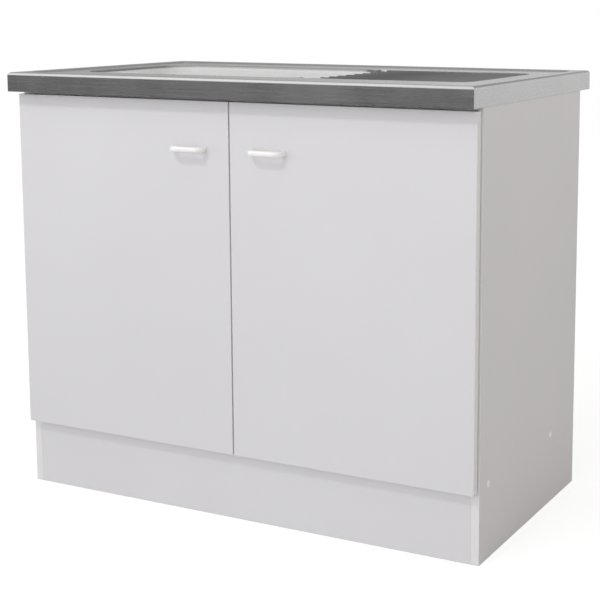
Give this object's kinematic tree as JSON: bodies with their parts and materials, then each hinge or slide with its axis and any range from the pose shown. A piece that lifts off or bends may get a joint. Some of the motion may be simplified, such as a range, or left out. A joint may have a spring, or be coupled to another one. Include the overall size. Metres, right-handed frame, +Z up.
{
  "type": "kitchen sink unit",
  "caption": "Lay-on steel sink with a bowl and a grooved drainer on a white melamine base cabinet with hinged doors, bow handles and a plinth.",
  "frame": {"origin": "on the floor, under the middle of the sink top", "axes": "+X to the right seen from the front, +Y to the wall, +Z up"},
  "size_m": [1, 0.6, 0.85],
  "materials": {
    "sink_steel": "satin stainless steel with a fine lengthwise brushing",
    "polished_steel": "polished stainless steel",
    "white_board": "white melamine on chipboard with banded edges",
    "raw_board": "bare chipboard",
    "beech": "fluted beech",
    "zinc_steel": "bright zinc plate",
    "nickel_steel": "nickel plate",
    "white_plastic": "moulded white polypropylene",
    "handle_plastic": "smooth white plastic",
    "cap_plastic": "white moulded cap",
    "black_plastic": "black moulded knob",
    "clear_rubber": "clear soft bumper",
    "black_rubber": "matt black rubber"
  },
  "bodies": {
    "cabinet": {"batten_front": "raw_board", "batten_left": "raw_board", "batten_rear": "raw_board", "batten_right": "raw_board", "bottom_panel": "white_board", "cam_bolts": "zinc_steel", "cam_locks": "zinc_steel", "confirmat_screws": "zinc_steel", "front_rail": "white_board", "hinge_arm_screws": "zinc_steel", "hinge_arms_left": "nickel_steel", "hinge_arms_right": "nickel_steel", "hinge_plate_screws": "zinc_steel", "hinge_plates_left": "nickel_steel", "hinge_plates_right": "nickel_steel", "overflow_elbow": "white_plastic", "overflow_gasket": "black_rubber", "overflow_pipe": "white_plastic", "overflow_rosette": "polished_steel", "overflow_screw": "polished_steel", "plinth_block_screws": "zinc_steel", "plinth_blocks": "white_plastic", "plinth_board": "white_board", "rear_rail_lower": "white_board", "rear_rail_upper": "white_board", "screw_caps": "cap_plastic", "side_panel_left": "white_board", "side_panel_right": "white_board", "sink_bowl": "sink_steel", "sink_bracket_screws": "zinc_steel", "sink_brackets": "zinc_steel", "sink_deck": "sink_steel", "waste_body": "white_plastic", "waste_cup": "polished_steel", "waste_gasket": "black_rubber", "waste_screw": "polished_steel", "wood_dowels": "beech"},
    "left_door": {"door_left": "white_board", "handle_left": "handle_plastic", "handle_screws_left": "zinc_steel", "door_bumpers_left": "clear_rubber", "hinge_cups_left": "nickel_steel", "hinge_cup_screws_left": "zinc_steel"},
    "right_door": {"door_right": "white_board", "handle_right": "handle_plastic", "handle_screws_right": "zinc_steel", "door_bumpers_right": "clear_rubber", "hinge_cups_right": "nickel_steel", "hinge_cup_screws_right": "zinc_steel"},
    "left_hinge_links": {"hinge_links_left": "nickel_steel"},
    "right_hinge_links": {"hinge_links_right": "nickel_steel"},
    "strainer": {"strainer_basket": "polished_steel", "strainer_post": "polished_steel", "strainer_knob": "black_plastic"}
  },
  "joints": [
    {"name": "left_door_swing", "type": "hinge", "parent": "cabinet", "child": "left_door", "pos_m": [-0.4895, -0.265, 0.4695], "axis": [0, 0, 1], "range_deg": [-95, 0]},
    {"name": "right_door_swing", "type": "hinge", "parent": "cabinet", "child": "right_door", "pos_m": [0.4895, -0.265, 0.4695], "axis": [0, 0, 1], "range_deg": [0, 95]},
    {"name": "left_link_swing", "type": "hinge", "parent": "cabinet", "child": "left_hinge_links", "pos_m": [-0.468, -0.2535, 0.4695], "axis": [0, 0, 1], "range_deg": [0, 25.05]},
    {"name": "right_link_swing", "type": "hinge", "parent": "cabinet", "child": "right_hinge_links", "pos_m": [0.468, -0.2535, 0.4695], "axis": [0, 0, 1], "range_deg": [-25.05, 0]},
    {"name": "strainer_lift", "type": "slide", "parent": "cabinet", "child": "strainer", "axis": [0, 0, 1], "range_m": [0, 0.16]}
  ],
  "couplings": [
    {"joint": "left_link_swing", "follows": "left_door_swing", "ratio": -0.25845},
    {"joint": "right_link_swing", "follows": "right_door_swing", "ratio": -0.25845}
  ]
}
